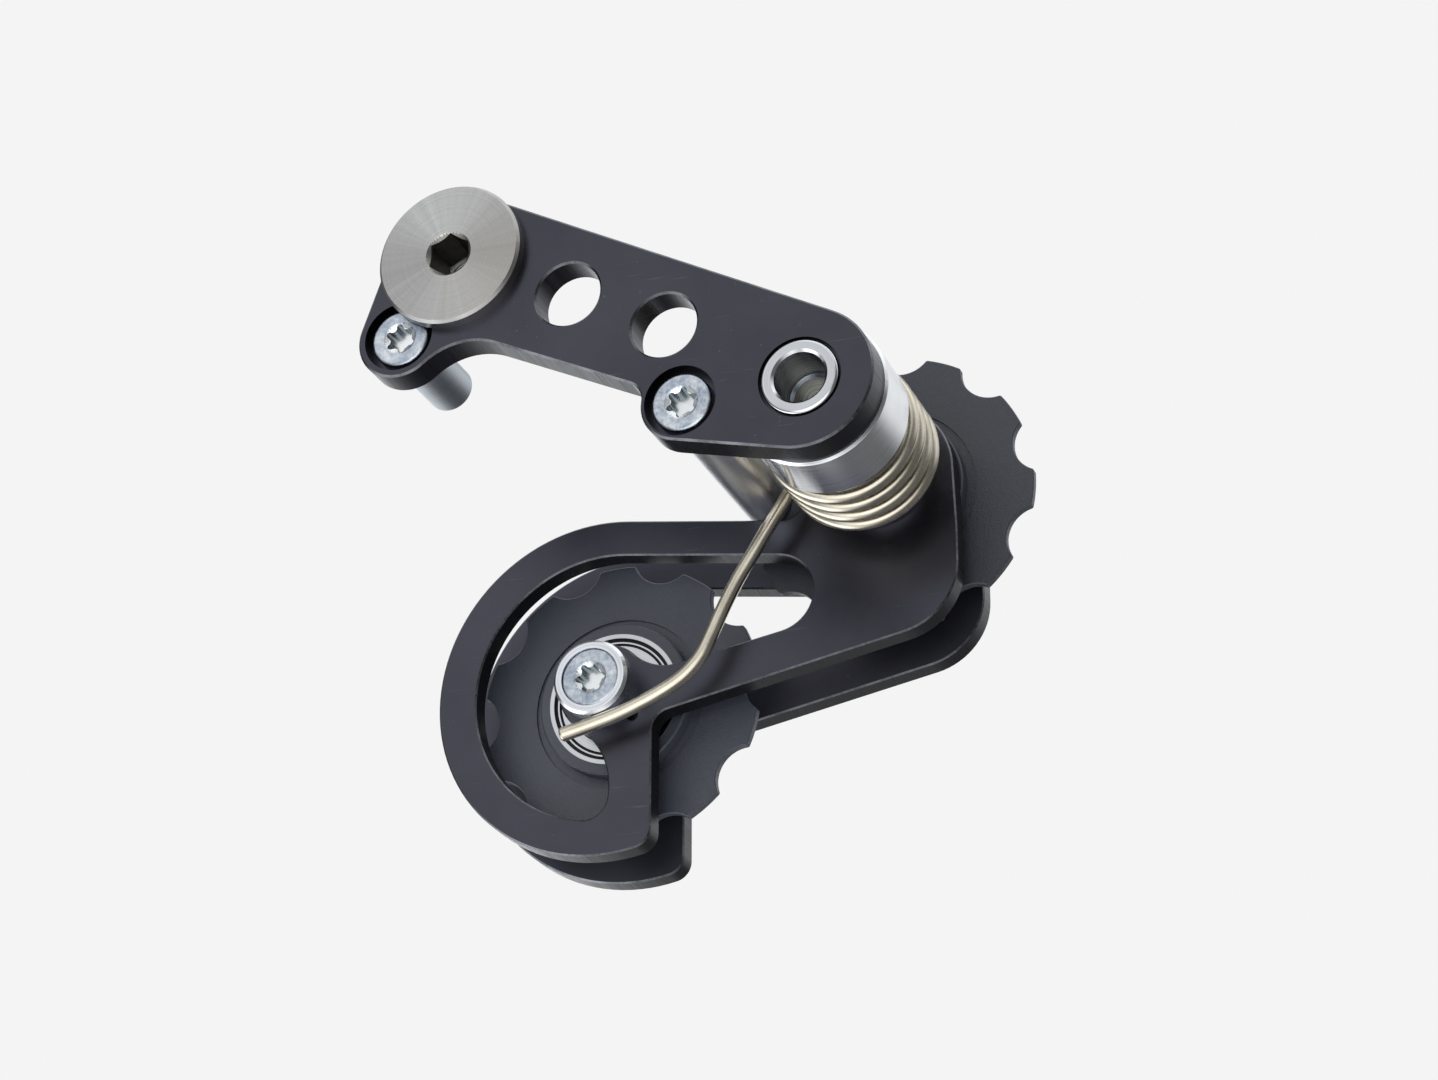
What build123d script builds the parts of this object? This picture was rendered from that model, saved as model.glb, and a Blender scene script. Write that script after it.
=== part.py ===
"""Sprung bicycle chain tensioner, millimetres.

Origin on the mounting bolt's axis at the mounting plate's back face. +X forward, +Y inboard, +Z up.
Every piece is drawn in the XZ plane and extruded along +Y.
"""
import math
import os

from build123d import *

# ---------------------------------------------------------------- driving dimensions
CHAIN_PITCH = 12.7
TEETH = 10

# the two axes of the cage, as (x, z)
PIVOT = (44.5, -23.5)
LOWER = (8.5, -46.75)

# mounting plate
PLATE_T = 4.2
PLATE_BOLT_R = 9.0          # outline round the mounting bolt
PLATE_PIVOT_R = 9.0         # outline round the pivot
LOBE_1_R = 5.4
LOBE_2_R = 5.0
PIN_1 = (-7.1, -9.35)
PIN_2 = (29.7, -24.1)
LIGHTENING_R = 4.15
LIGHTENING = [(15.2, -7.45), (27.6, -13.8)]
BOLT_HOLE_R = 5.5
SEAT_R = 4.5                # counterbores of the two pin screws
SEAT_DEPTH = 2.0
PLATE_CHAMFER = 0.25

# mounting bolt
DISC_R = 9.35
DISC_T = 1.7
BOLT_SHOULDER_R = 5.4
BOLT_SHOULDER_END = -0.1     # stops short of the hanger, so the head clamps the plate
BOLT_THREAD_R = 4.98
BOLT_TIP = 0.8
BOLT_REACH = 9.0            # thread behind the plate
HEX_AF = 5.0
HEX_DEPTH = 6.0

# pins and their screws
PIN_R = 3.0
PIN_1_LEN = 11.65
PIN_2_LEN = 28.2
PIN_SCREW_R = 2.0
PIN_HEAD_R = 3.75
PIN_HEAD_T = 1.6
LOBE_DRIVE_R = 1.95
LOBE_DRIVE_DEPTH = 1.5

# pivot
FERRULE_FLANGE_R = 4.8
FERRULE_FLANGE_T = 1.2
FERRULE_BODY_R = 4.0
FERRULE_BORE_R = 3.2
FERRULE_END = 8.0           # y of its inner end
FERRULE_FLOOR = 1.75        # y of the blind bore's end
FERRULE_SEAT_R = 5.1
FERRULE_SEAT_DEPTH = 1.0
COLLAR_R = 9.4
COLLAR_L = 8.6
CORE_R = 6.6
CORE_END = 24.6
JOURNAL_R = 3.5
JOURNAL_END = 40.05
END_SCREW_R = 2.0
END_HEAD_R = 4.0
END_HEAD_T = 2.4
END_WASHER_R = 6.5
END_WASHER_T = 1.0

# cage
CAGE_T = 3.0
FRONT_Y = 25.3              # front plate's front face
REAR_Y = 36.9               # rear plate's front face
CAGE_ARC_C = (8.4, -46.35)
CAGE_ARC_R = 22.05
SLOT_ARC_C = (8.83, -46.45)
SLOT_ARC_R = 17.42
BOSS_R = 9.8                # round the pivot
TONGUE_BOSS_R = 5.8         # round the lower axle
TUBE_R = 4.5
TUBE_BORE_R = 3.56          # runs on the journal
LOWER_TUBE_BORE_R = 2.05
RING_R = 5.6
DIMPLE = (12.5, -50.8)      # small blind hole beside the spring's leg, front plate only
DIMPLE_R = 0.75
DIMPLE_DEPTH = 1.6
SLEEVE_R = 4.85
SLEEVE_L = 4.3
SLEEVE_HEAD_R = 3.75
SLEEVE_BORE_R = 2.05
LOWER_SCREW_R = 2.0
REAR_NUT_R = 4.6
REAR_NUT_T = 3.2

# pulleys and bearings
PULLEY_Y = 31.6             # mid-plane
TOOTH_T = 1.2
TIP_R = 18.5
SEAT_ROLLER_R = 4.12
HUB_R = 9.95
HUB_W = 4.8
GROOVE_R = 11.2
GROOVE_DEPTH = 0.3
UPPER_PHASE = 66.35         # angle of one tooth's middle, degrees
LOWER_PHASE = 91.43
BEARING_R = 8.6
BEARING_W = 5.0
OUTER_RING_IN_R = 8.05
INNER_RING_R = 5.7
BALL_R = 1.35
BALL_PCR = 6.875
BALLS = 9
SHIELD_OUT_R = 7.05         # flat face; its sunk rim reaches the outer ring
SHIELD_LIP = (7.4, 7.6)     # thin raised lip on the sunk rim
SHIELD_IN_R = 5.85
SHIELD_T = 0.25
SHIELD_RECESS = 0.2
SHIELD_SINK = 0.3

# torsion spring
WIRE_R = 0.9
COIL_R = 8.8
COIL_PITCH = 2.75
COIL_BOTTOM_Y = 11.0        # y where the first visible turn passes under the axis
LEG = [(35.50, 21.30, -24.30), (34.86, 21.33, -25.50), (33.80, 21.36, -27.00), (31.97, 21.40, -29.70), (29.62, 21.45, -33.35),
       (27.66, 21.50, -36.40), (25.79, 21.55, -39.90), (24.15, 21.60, -43.35), (23.12, 21.60, -45.35),
       (21.80, 21.60, -46.98), (20.12, 21.60, -48.38), (17.50, 21.60, -49.78), (14.78, 21.60, -50.93),
       (12.10, 21.60, -51.88), (9.40, 21.60, -52.62), (6.80, 21.60, -53.24), (4.60, 21.60, -53.72)]

PITCH_R = CHAIN_PITCH / 2 / math.sin(math.pi / TEETH)
XZ = Plane(origin=(0, 0, 0), x_dir=(1, 0, 0), z_dir=(0, -1, 0))


# ---------------------------------------------------------------- helpers
def at(y):
    """The XZ drawing plane at height y; extruding by -t goes towards +Y."""
    return Plane(origin=(0, y, 0), x_dir=(1, 0, 0), z_dir=(0, -1, 0))


def up(face_or_sketch, y, t):
    """Extrude an XZ sketch from y to y + t."""
    return extrude(at(y) * face_or_sketch, amount=-t)


def disc(c, r, y0, y1):
    return up(Pos(c[0], c[1]) * Circle(r), y0, y1 - y0)


def tube(c, r_out, r_in, y0, y1):
    return up(Pos(c[0], c[1]) * (Circle(r_out) - Circle(r_in)), y0, y1 - y0)


def polar(c, r, deg):
    a = math.radians(deg)
    return (c[0] + r * math.cos(a), c[1] + r * math.sin(a))


def arc(c, r, a0, a1):
    """Arc about c from angle a0 to a1 in degrees, through their middle."""
    return ThreePointArc(polar(c, r, a0), polar(c, r, (a0 + a1) / 2), polar(c, r, a1))


def tangent_angle(c0, r0, c1, r1, side):
    """Angle of the outward normal of the common outer tangent, side +1 left of c0 to c1, -1 right."""
    d = math.hypot(c1[0] - c0[0], c1[1] - c0[1])
    base = math.degrees(math.atan2(c1[1] - c0[1], c1[0] - c0[0]))
    return base + side * math.degrees(math.acos((r0 - r1) / d))


def six_lobe(r):
    """Six-lobe socket outline of outer radius r."""
    s = Circle(r * 0.80)
    for k in range(6):
        s += Pos(*polar((0, 0), r * 0.79, 60 * k + 15)) * Circle(r * 0.21)
    for k in range(6):
        s -= Pos(*polar((0, 0), r * 0.97, 60 * k + 45)) * Circle(r * 0.27)
    return s


def drive(c, y0, turn, depth):
    """Six-lobe drive socket open at y0, with a shallow conical lead-in."""
    cone = Solid.make_cone(LOBE_DRIVE_R + 0.20, LOBE_DRIVE_R - 0.45, 0.26,
                           Plane(origin=(c[0], y0, c[1]), x_dir=(1, 0, 0), z_dir=(0, 1, 0)))
    return up(Pos(*c) * Rot(0, 0, turn) * six_lobe(LOBE_DRIVE_R), y0 - 0.01, depth) + cone


def edges_near(part, y, tol=0.01):
    return part.edges().filter_by(lambda e: abs(e.bounding_box().min.Y - y) < tol
                                  and abs(e.bounding_box().max.Y - y) < tol)


# ---------------------------------------------------------------- mounting plate
def mounting_plate():
    o, u = (0.0, 0.0), PIVOT
    a_top = tangent_angle(o, PLATE_BOLT_R, u, PLATE_PIVOT_R, +1)
    a_low = tangent_angle(PIN_2, LOBE_2_R, u, PLATE_PIVOT_R, -1)
    a_left = tangent_angle(PIN_1, LOBE_1_R, o, PLATE_BOLT_R, +1)
    # lower straight edge between the two lobes
    p0, d = (9.18, -14.02), (0.9025, -0.4307)
    n = (-d[1], d[0])
    # concave corner beside the second lobe
    rf = 2.4
    best = None
    for i in range(-4000, 4000):
        t = i * 0.01
        c = (p0[0] + t * d[0] - rf * n[0], p0[1] + t * d[1] - rf * n[1])
        e = abs(math.hypot(c[0] - PIN_2[0], c[1] - PIN_2[1]) - (rf + LOBE_2_R))
        if c[0] < PIN_2[0] and (best is None or e < best[0]):
            best = (e, t, c)
    c5 = best[2]
    p6 = (c5[0] + rf * n[0], c5[1] + rf * n[1])
    a5 = math.degrees(math.atan2(c5[1] - PIN_2[1], c5[0] - PIN_2[0])) % 360
    # concave sweep under the mounting bolt
    rs = 9.0
    best = None
    for i in range(-4000, 4000):
        t = i * 0.01
        c = (p0[0] + t * d[0] - rs * n[0], p0[1] + t * d[1] - rs * n[1])
        e = abs(math.hypot(c[0] - PIN_1[0], c[1] - PIN_1[1]) - (rs + LOBE_1_R))
        if c[0] > PIN_1[0] and (best is None or e < best[0]):
            best = (e, t, c)
    c7 = best[2]
    p7 = (c7[0] + rs * n[0], c7[1] + rs * n[1])
    a8 = math.degrees(math.atan2(c7[1] - PIN_1[1], c7[0] - PIN_1[0])) % 360
    a_c7a = math.degrees(math.atan2(n[1], n[0]))
    a_c7b = (a8 + 180) % 360
    a_c5b = math.degrees(math.atan2(n[1], n[0]))
    a_c5a = (a5 + 180) % 360 - 360 if (a5 + 180) % 360 > 180 else (a5 + 180) % 360
    line = [
        Line(polar(o, PLATE_BOLT_R, a_top), polar(u, PLATE_PIVOT_R, a_top)),
        arc(u, PLATE_PIVOT_R, a_top, a_low if a_low < a_top else a_low - 360),
        Line(polar(u, PLATE_PIVOT_R, a_low), polar(PIN_2, LOBE_2_R, a_low)),
        arc(PIN_2, LOBE_2_R, a_low, a5 - 360 if a5 > a_low + 360 else (a5 - 360 if a5 - 360 < a_low else a5)),
        ThreePointArc(polar(PIN_2, LOBE_2_R, a5), polar(c5, rf, (a_c5a + a_c5b) / 2), p6),
        Line(p6, p7),
        ThreePointArc(p7, polar(c7, rs, (a_c7a + a_c7b) / 2), polar(PIN_1, LOBE_1_R, a8)),
        arc(PIN_1, LOBE_1_R, a8, a_left if a_left < a8 else a_left - 360),
        Line(polar(PIN_1, LOBE_1_R, a_left), polar(o, PLATE_BOLT_R, a_left)),
        arc(o, PLATE_BOLT_R, a_left, a_top),
    ]
    face = make_face(Curve() + line)
    face -= Pos(0, 0) * Circle(BOLT_HOLE_R)
    for c in LIGHTENING:
        face -= Pos(*c) * Circle(LIGHTENING_R)
    for c in (PIN_1, PIN_2):
        face -= Pos(*c) * Circle(PIN_SCREW_R)
    face -= Pos(*PIVOT) * Circle(FERRULE_BODY_R)
    p = up(face, -PLATE_T, PLATE_T)
    p = chamfer(edges_near(p, -PLATE_T) + edges_near(p, 0), PLATE_CHAMFER)
    for c in (PIN_1, PIN_2):
        p -= disc(c, SEAT_R, -PLATE_T - 0.1, -PLATE_T + SEAT_DEPTH)
    p -= disc(PIVOT, FERRULE_SEAT_R, -PLATE_T - 0.1, -PLATE_T + FERRULE_SEAT_DEPTH)
    return p


# ---------------------------------------------------------------- mounting bolt
def mounting_bolt():
    y0 = -PLATE_T - DISC_T
    head = disc((0, 0), DISC_R, y0, -PLATE_T)
    head = chamfer(edges_near(head, y0), 0.35)
    b = head + disc((0, 0), BOLT_SHOULDER_R, -PLATE_T, BOLT_SHOULDER_END)
    shank = disc((0, 0), BOLT_THREAD_R, BOLT_SHOULDER_END, BOLT_REACH)
    b += chamfer(edges_near(shank, BOLT_REACH), BOLT_TIP)
    b -= up(RegularPolygon(HEX_AF / math.sqrt(3), 6, rotation=27), y0 - 0.01, HEX_DEPTH)
    cone = Solid.make_cone(HEX_AF / math.sqrt(3) + 0.12, HEX_AF / math.sqrt(3) - 0.55, 0.6,
                           Plane(origin=(0, y0 - 0.001, 0), x_dir=(1, 0, 0), z_dir=(0, 1, 0)))
    b -= cone
    return b


# ---------------------------------------------------------------- stop pins
def pin(c, length):
    p = disc(c, PIN_R, 0.0, length)
    p = chamfer(edges_near(p, length), 0.4)
    p -= disc(c, PIN_SCREW_R, -0.1, 7.0)
    return p


def pin_screw(c, turn):
    y0 = -PLATE_T + SEAT_DEPTH - PIN_HEAD_T
    s = disc(c, PIN_HEAD_R, y0, y0 + PIN_HEAD_T)
    s = fillet(edges_near(s, y0), 0.45)
    s += disc(c, PIN_SCREW_R, y0 + PIN_HEAD_T, 6.0)
    s -= drive(c, y0, turn, LOBE_DRIVE_DEPTH)
    return s


# ---------------------------------------------------------------- pivot
def pivot_ferrule():
    y0 = -PLATE_T + FERRULE_SEAT_DEPTH - FERRULE_FLANGE_T
    f = disc(PIVOT, FERRULE_FLANGE_R, y0, y0 + FERRULE_FLANGE_T)
    f = fillet(edges_near(f, y0), 0.5)
    f += disc(PIVOT, FERRULE_BODY_R, y0 + FERRULE_FLANGE_T, FERRULE_END)
    f = chamfer(edges_near(f, FERRULE_END), 0.4)
    f -= disc(PIVOT, FERRULE_BORE_R, y0 - 0.1, FERRULE_FLOOR)
    f -= Solid.make_cone(FERRULE_BORE_R, FERRULE_BORE_R - 0.4, 0.35,
                         Plane(origin=(PIVOT[0], FERRULE_FLOOR, PIVOT[1]), x_dir=(1, 0, 0), z_dir=(0, 1, 0)))
    f -= disc(PIVOT, FERRULE_BORE_R - 0.4, FERRULE_FLOOR + 0.34, FERRULE_FLOOR + 0.8)
    f -= Solid.make_cone(FERRULE_BORE_R + 0.3, FERRULE_BORE_R, 0.3,
                         Plane(origin=(PIVOT[0], y0, PIVOT[1]), x_dir=(1, 0, 0), z_dir=(0, 1, 0)))
    return f


def pivot_body():
    p = disc(PIVOT, COLLAR_R, 0.0, COLLAR_L)
    p = chamfer(edges_near(p, 0.0) + edges_near(p, COLLAR_L), 0.3)
    p += disc(PIVOT, CORE_R, COLLAR_L, CORE_END)
    p += disc(PIVOT, JOURNAL_R, CORE_END, JOURNAL_END)
    p -= disc(PIVOT, FERRULE_BODY_R, -0.1, FERRULE_END)
    p -= disc(PIVOT, 3.6, FERRULE_END, FERRULE_END + 2.0)
    p -= disc(PIVOT, END_SCREW_R, JOURNAL_END - 12.0, JOURNAL_END + 0.1)
    # blind hole in the collar's rear face for the spring's fixed end
    p -= disc(TANG, WIRE_R + 0.1, COLLAR_L - 5.0, COLLAR_L + 0.1)
    p -= Solid.make_cone(WIRE_R + 0.1, WIRE_R + 0.6, 0.9,
                         Plane(origin=(TANG[0], COLLAR_L - 0.88, TANG[1]), x_dir=(1, 0, 0), z_dir=(0, 1, 0)))
    return p


# the spring's fixed end stands in the collar at this point
TANG = (PIVOT[0] + 2.2, PIVOT[1] + 7.4)


def thrust_washer():
    return tube(PIVOT, CORE_R, JOURNAL_R, CORE_END, FRONT_Y - 0.08)


def end_washer():
    w = tube(PIVOT, END_WASHER_R, END_SCREW_R, JOURNAL_END, JOURNAL_END + END_WASHER_T)
    return chamfer(edges_near(w, JOURNAL_END + END_WASHER_T).sort_by(SortBy.LENGTH)[-1:], 0.2)


def end_screw():
    y1 = JOURNAL_END + END_WASHER_T + END_HEAD_T
    s = disc(PIVOT, END_HEAD_R, JOURNAL_END + END_WASHER_T, y1)
    s = fillet(edges_near(s, y1), 1.2)
    s += disc(PIVOT, END_SCREW_R, JOURNAL_END - 11.0, JOURNAL_END + END_WASHER_T)
    s -= up(Pos(*PIVOT) * Rot(0, 0, 8) * six_lobe(LOBE_DRIVE_R), y1 - 1.6, 1.7)
    return s


# ---------------------------------------------------------------- cage plates
def cage_face():
    # outline, clockwise from the top edge
    slope = math.atan2(-3.0, 20.7)
    n_top = math.degrees(slope) + 90
    p_top = polar(CAGE_ARC_C, CAGE_ARC_R, n_top)
    big = Pos(*CAGE_ARC_C) * Circle(CAGE_ARC_R)
    edge_x = 54.6
    a = math.tan(math.radians(11.1))
    arm_z = lambda x: -45.4 + a * (x - 43.3)
    top_z = lambda x: p_top[1] + math.tan(slope) * (x - p_top[0])
    arm = make_face(Polyline(p_top, (PIVOT[0] + 4, top_z(PIVOT[0] + 4)), (PIVOT[0] + BOSS_R, PIVOT[1]),
                             (edge_x, PIVOT[1] - 8.0), (edge_x, arm_z(edge_x)), (15.0, arm_z(15.0)),
                             CAGE_ARC_C, close=True))
    f = big + arm
    # the ring stops at a straight edge below the arm
    f -= make_face(Polyline((15.0, arm_z(15.0)), (34.0, arm_z(34.0)), (34.0, -72.0), (15.0, -72.0), close=True))
    f += Pos(*PIVOT) * Circle(BOSS_R)
    f = f.clean() if hasattr(f, "clean") else f

    def corner(sk, x, z, r):
        v = sk.vertices().sort_by_distance(Vector(x, z, 0))[0]
        return fillet(v, r)

    f = corner(f, 15.0, -67.4, 2.4)
    f = corner(f, 15.0, arm_z(15.0), 2.6)
    f = corner(f, edge_x, arm_z(edge_x), 8.7)
    f = corner(f, 35.9, -28.3, 2.4)
    return f


def slot_face():
    """The C-shaped opening, drawn as a chain of tangent lines and arcs."""
    n_top = math.degrees(math.atan2(-3.0, 20.7)) + 90
    n = polar((0, 0), 1, n_top)
    end_x, end_r = 31.0, 5.08
    # height of the end arc's centre for a top edge tangent to both arcs
    end_z = SLOT_ARC_C[1] + (SLOT_ARC_R - end_r - (end_x - SLOT_ARC_C[0]) * n[0]) / n[1]
    end_c = (end_x, end_z)
    low = 10.2
    s0 = polar(SLOT_ARC_C, SLOT_ARC_R, n_top)
    s1 = polar(end_c, end_r, n_top)
    s2 = polar(end_c, end_r, low - 90)
    # sweep between the lower edge and the boss of the tongue
    d, m = polar((0, 0), 1, low), polar((0, 0), 1, low + 90)
    rc = 6.5
    base = (s2[0] + rc * m[0] - LOWER[0], s2[1] + rc * m[1] - LOWER[1])
    bd = base[0] * d[0] + base[1] * d[1]
    t = -bd + math.sqrt(bd * bd - (base[0] ** 2 + base[1] ** 2) + (rc + TONGUE_BOSS_R) ** 2)
    cc = (LOWER[0] + base[0] + t * d[0], LOWER[1] + base[1] + t * d[1])
    s3 = (cc[0] - rc * m[0], cc[1] - rc * m[1])
    a4 = math.degrees(math.atan2(cc[1] - LOWER[1], cc[0] - LOWER[0]))
    # the tongue's free edge below its boss
    s5 = polar(LOWER, TONGUE_BOSS_R, 235)
    u = polar((0, 0), 1, 235)
    s6 = (9.4, -59.7)
    w = (s5[0] - s6[0], s5[1] - s6[1])
    ra = -(w[0] ** 2 + w[1] ** 2) / (2 * (u[0] * w[0] + u[1] * w[1]))
    ca = (s5[0] + ra * u[0], s5[1] + ra * u[1])
    # where that edge meets the big arc
    dx, dz = SLOT_ARC_C[0] - ca[0], SLOT_ARC_C[1] - ca[1]
    dd = math.hypot(dx, dz)
    k = (dd * dd + ra * ra - SLOT_ARC_R ** 2) / (2 * dd)
    a7 = math.degrees(math.atan2(dz, dx)) - math.degrees(math.acos(k / ra))
    s7 = polar(ca, ra, a7)
    b7 = math.degrees(math.atan2(s7[1] - SLOT_ARC_C[1], s7[0] - SLOT_ARC_C[0])) % 360
    f = make_face(Curve() + [
        Line(s0, s1),
        arc(end_c, end_r, n_top, low - 90),
        Line(s2, s3),
        arc(cc, rc, low - 90, a4 - 180),
        arc(LOWER, TONGUE_BOSS_R, a4, 235),
        arc(ca, ra, 55, a7),
        arc(SLOT_ARC_C, SLOT_ARC_R, b7, n_top),
    ])
    return fillet(f.vertices().sort_by_distance(Vector(s7[0], s7[1], 0))[0], 3.0)


def cage_plate(y, dimple):
    f = cage_face() - slot_face()
    for c in (PIVOT, LOWER):
        f -= Pos(*c) * Circle(TUBE_R)
    p = up(f, y, CAGE_T)
    long_edges = [e for e in list(edges_near(p, y)) + list(edges_near(p, y + CAGE_T))]
    p = chamfer(long_edges, 0.2)
    if dimple:
        p -= disc(DIMPLE, DIMPLE_R, y - 0.1, y + DIMPLE_DEPTH)
    return p


# ---------------------------------------------------------------- cage axles
def upper_tube():
    return tube(PIVOT, TUBE_R, TUBE_BORE_R, FRONT_Y, REAR_Y + CAGE_T)


def lower_tube():
    return tube(LOWER, TUBE_R, LOWER_TUBE_BORE_R, FRONT_Y, REAR_Y + CAGE_T)


def distance_ring(c, front):
    w = BEARING_W / 2
    if front:
        return tube(c, RING_R, TUBE_R, FRONT_Y + CAGE_T, PULLEY_Y - w)
    return tube(c, RING_R, TUBE_R, PULLEY_Y + w, REAR_Y)


def lower_sleeve():
    y0 = FRONT_Y - SLEEVE_L
    s = disc(LOWER, SLEEVE_R, y0, FRONT_Y)
    s = chamfer(edges_near(s, y0), 0.35)
    s -= disc(LOWER, SLEEVE_BORE_R, y0 - 0.1, FRONT_Y + 0.1)
    s -= disc(LOWER, SLEEVE_HEAD_R, y0 - 0.1, y0 + 1.75)
    return s


def lower_screw():
    y0 = FRONT_Y - SLEEVE_L + 0.15
    s = disc(LOWER, SLEEVE_HEAD_R, y0, y0 + 1.6)
    s = fillet(edges_near(s, y0), 0.35)
    s += disc(LOWER, LOWER_SCREW_R, y0 + 1.6, REAR_Y + CAGE_T + REAR_NUT_T - 0.4)
    s -= drive(LOWER, y0, -12, LOBE_DRIVE_DEPTH)
    return s


def rear_nut():
    y0 = REAR_Y + CAGE_T
    n = tube(LOWER, REAR_NUT_R, LOWER_SCREW_R, y0, y0 + REAR_NUT_T)
    return chamfer(edges_near(n, y0 + REAR_NUT_T).sort_by(SortBy.LENGTH)[-1:], 0.35)


# ---------------------------------------------------------------- pulleys and bearings
def pulley(c, phase):
    f = Circle(TIP_R)
    for k in range(TEETH):
        f -= Pos(*polar((0, 0), PITCH_R, 360 / TEETH * (k + 0.5))) * Circle(SEAT_ROLLER_R)
    tips = [v for v in f.vertices() if math.hypot(v.X, v.Y) > TIP_R - 0.2]
    f = fillet(tips, 0.35)
    y0, y1 = PULLEY_Y - TOOTH_T / 2, PULLEY_Y + TOOTH_T / 2
    f = Pos(*c) * Rot(0, 0, phase) * f
    p = up(f, y0, TOOTH_T)
    p = chamfer(edges_near(p, y0) + edges_near(p, y1), 0.12)
    p -= tube(c, GROOVE_R, HUB_R, y0 - 0.1, y0 + GROOVE_DEPTH)
    p -= tube(c, GROOVE_R, HUB_R, y1 - GROOVE_DEPTH, y1 + 0.1)
    hub = disc(c, HUB_R, PULLEY_Y - HUB_W / 2, PULLEY_Y + HUB_W / 2)
    hub = chamfer(edges_near(hub, PULLEY_Y - HUB_W / 2) + edges_near(hub, PULLEY_Y + HUB_W / 2), 0.2)
    p += hub
    p -= disc(c, BEARING_R, PULLEY_Y - 10, PULLEY_Y + 10)
    return p


def groove(c):
    return Solid.make_torus(BALL_PCR, BALL_R + 0.04, Plane(origin=(c[0], PULLEY_Y, c[1]), x_dir=(1, 0, 0),
                                                          z_dir=(0, 1, 0)))


def bearing_outer(c):
    y0, y1 = PULLEY_Y - BEARING_W / 2, PULLEY_Y + BEARING_W / 2
    r = tube(c, BEARING_R, OUTER_RING_IN_R, y0, y1)
    return r - groove(c)


def bearing_inner(c):
    y0, y1 = PULLEY_Y - BEARING_W / 2, PULLEY_Y + BEARING_W / 2
    r = tube(c, INNER_RING_R, TUBE_R, y0, y1)
    return r - groove(c)


def bearing_balls(c, phase):
    ps = []
    for k in range(BALLS):
        x, z = polar(c, BALL_PCR, 360 / BALLS * k + phase)
        ps.append(Pos(x, PULLEY_Y, z) * Sphere(BALL_R))
    return Compound(children=ps)


def bearing_shield(c, front):
    if front:
        y0 = PULLEY_Y - BEARING_W / 2 + SHIELD_RECESS
    else:
        y0 = PULLEY_Y + BEARING_W / 2 - SHIELD_RECESS - SHIELD_T
    face = tube(c, SHIELD_OUT_R, SHIELD_IN_R, y0, y0 + SHIELD_T)
    step = SHIELD_T if front else -SHIELD_SINK
    rim = tube(c, OUTER_RING_IN_R, SHIELD_OUT_R - 0.25, y0 + step, y0 + step + SHIELD_SINK)
    lip = tube(c, SHIELD_LIP[1], SHIELD_LIP[0], y0, y0 + SHIELD_T)
    return face + rim + lip


# ---------------------------------------------------------------- torsion spring
def torsion_spring():
    pts = []
    # fixed end, standing in the collar
    pts.append((TANG[0], COLLAR_L - 4.2, TANG[1]))
    pts.append((TANG[0], COLLAR_L - 1.5, TANG[1]))
    # from the collar's face up into the coil
    y_of = lambda deg: COIL_BOTTOM_Y + COIL_PITCH * (deg + 90) / 360
    a_tang = math.degrees(math.atan2(TANG[1] - PIVOT[1], TANG[0] - PIVOT[0])) - 360
    r_tang = math.hypot(TANG[0] - PIVOT[0], TANG[1] - PIVOT[1])
    for k, (da, f, yy) in enumerate([(3, 0.02, COLLAR_L + 0.15), (14, 0.25, COLLAR_L + 1.05)]):
        r = r_tang + (COIL_R - r_tang) * f
        x, z = polar(PIVOT, r, a_tang + da)
        pts.append((x, yy, z))
    start = a_tang + 45
    deg = start
    last = 3 * 360 + 176
    while deg < last:
        x, z = polar(PIVOT, COIL_R, deg)
        pts.append((x, y_of(deg) if deg > start + 30 else max(y_of(deg), COLLAR_L + 1.1), z))
        deg += 15
    x, z = polar(PIVOT, COIL_R, last)
    pts.append((x, y_of(last), z))
    pts += LEG
    path = Spline(*[Vector(*p) for p in pts])
    section = Plane(origin=path @ 0, z_dir=path % 0) * Circle(WIRE_R)
    return sweep(section, path=path)


# ---------------------------------------------------------------- all nodes
NODES = {
    "mounting_plate": mounting_plate,
    "mounting_bolt": mounting_bolt,
    "short_pin": lambda: pin(PIN_1, PIN_1_LEN),
    "long_pin": lambda: pin(PIN_2, PIN_2_LEN),
    "short_pin_screw": lambda: pin_screw(PIN_1, 20),
    "long_pin_screw": lambda: pin_screw(PIN_2, 5),
    "pivot_ferrule": pivot_ferrule,
    "pivot_body": pivot_body,
    "thrust_washer": thrust_washer,
    "end_washer": end_washer,
    "end_screw": end_screw,
    "torsion_spring": torsion_spring,
    "cage_front_plate": lambda: cage_plate(FRONT_Y, True),
    "cage_rear_plate": lambda: cage_plate(REAR_Y, False),
    "upper_tube": upper_tube,
    "lower_tube": lower_tube,
    "upper_ring_front": lambda: distance_ring(PIVOT, True),
    "upper_ring_rear": lambda: distance_ring(PIVOT, False),
    "lower_ring_front": lambda: distance_ring(LOWER, True),
    "lower_ring_rear": lambda: distance_ring(LOWER, False),
    "lower_sleeve": lower_sleeve,
    "lower_screw": lower_screw,
    "rear_nut": rear_nut,
    "upper_bearing_inner": lambda: bearing_inner(PIVOT),
    "upper_bearing_outer": lambda: bearing_outer(PIVOT),
    "upper_bearing_balls": lambda: bearing_balls(PIVOT, 7),
    "upper_shield_front": lambda: bearing_shield(PIVOT, True),
    "upper_shield_rear": lambda: bearing_shield(PIVOT, False),
    "lower_bearing_inner": lambda: bearing_inner(LOWER),
    "lower_bearing_outer": lambda: bearing_outer(LOWER),
    "lower_bearing_balls": lambda: bearing_balls(LOWER, 25),
    "lower_shield_front": lambda: bearing_shield(LOWER, True),
    "lower_shield_rear": lambda: bearing_shield(LOWER, False),
    "upper_pulley": lambda: pulley(PIVOT, UPPER_PHASE),
    "lower_pulley": lambda: pulley(LOWER, LOWER_PHASE),
}


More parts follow.
